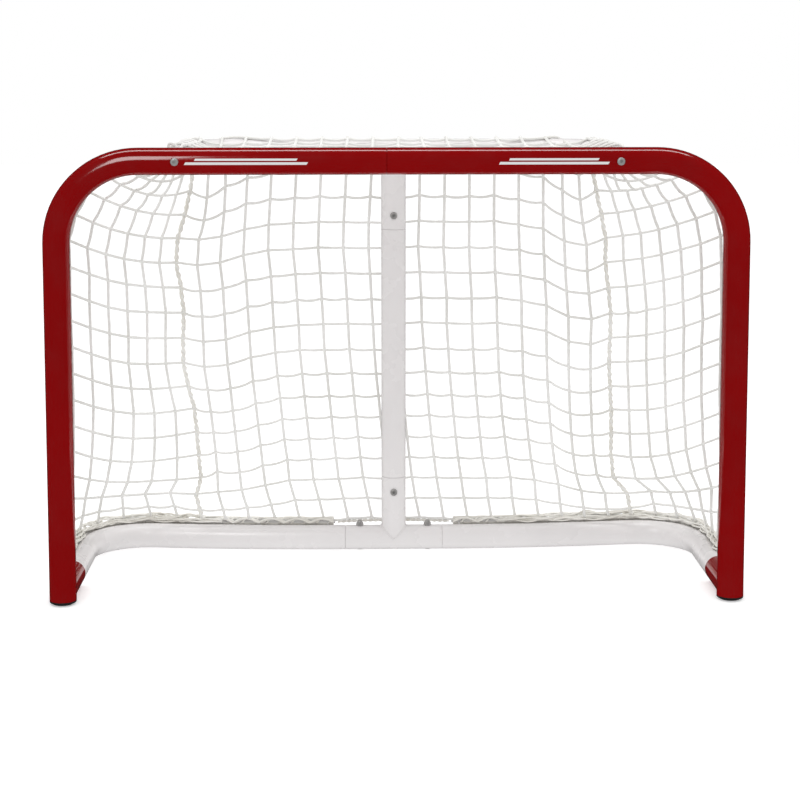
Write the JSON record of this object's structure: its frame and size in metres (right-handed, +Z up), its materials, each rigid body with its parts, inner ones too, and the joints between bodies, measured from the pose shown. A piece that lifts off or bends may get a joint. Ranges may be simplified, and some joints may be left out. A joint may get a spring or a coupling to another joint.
{
  "type": "hockey goal net",
  "caption": "Small steel hockey goal with an arched red front frame, white base, centre post and top frame, and a square-mesh net.",
  "frame": {"origin": "on the ground, midway across the goal and midway between the front of the crossbar bolts and the rear of the base tube", "axes": "+Z up, +X across the goal along the crossbar, -Y out of the mouth"},
  "size_m": [0.9906, 0.3455, 0.6505],
  "materials": {
    "red_paint": "gloss red enamel",
    "white_paint": "gloss white enamel",
    "rod_paint": "white enamel on thin rod",
    "black_plug": "moulded black plastic",
    "zinc_steel": "zinc-plated steel",
    "net_cord": "off-white knitted polyester cord",
    "lacing_cord": "off-white braided lacing cord"
  },
  "bodies": {
    "root": {"base_bolts": "zinc_steel", "base_cap_nuts": "zinc_steel", "base_lacing_bridge": "lacing_cord", "base_lacing_left": "lacing_cord", "base_lacing_right": "lacing_cord", "base_lacing_rod_left": "rod_paint", "base_lacing_rod_right": "rod_paint", "base_rail_left": "white_paint", "base_rail_right": "white_paint", "base_stub_left": "red_paint", "base_stub_right": "red_paint", "base_tee": "white_paint", "base_tee_upright": "white_paint", "centre_post": "white_paint", "centre_post_bolts": "zinc_steel", "centre_post_nuts": "zinc_steel", "corner_lacing_left": "lacing_cord", "corner_lacing_right": "lacing_cord", "crossbar_bolts": "zinc_steel", "crossbar_lacing_left": "lacing_cord", "crossbar_lacing_right": "lacing_cord", "crossbar_lacing_rod_left": "rod_paint", "crossbar_lacing_rod_right": "rod_paint", "crossbar_screw": "zinc_steel", "front_frame_left": "red_paint", "front_frame_right": "red_paint", "net_back": "net_cord", "net_left": "net_cord", "net_right": "net_cord", "net_top": "net_cord", "post_lacing_left": "lacing_cord", "post_lacing_right": "lacing_cord", "post_lacing_rod_left": "rod_paint", "post_lacing_rod_right": "rod_paint", "post_plug_left": "black_plug", "post_plug_right": "black_plug", "top_frame": "white_paint", "top_frame_drop": "white_paint", "top_frame_plugs": "zinc_steel"}
  },
  "joints": []
}
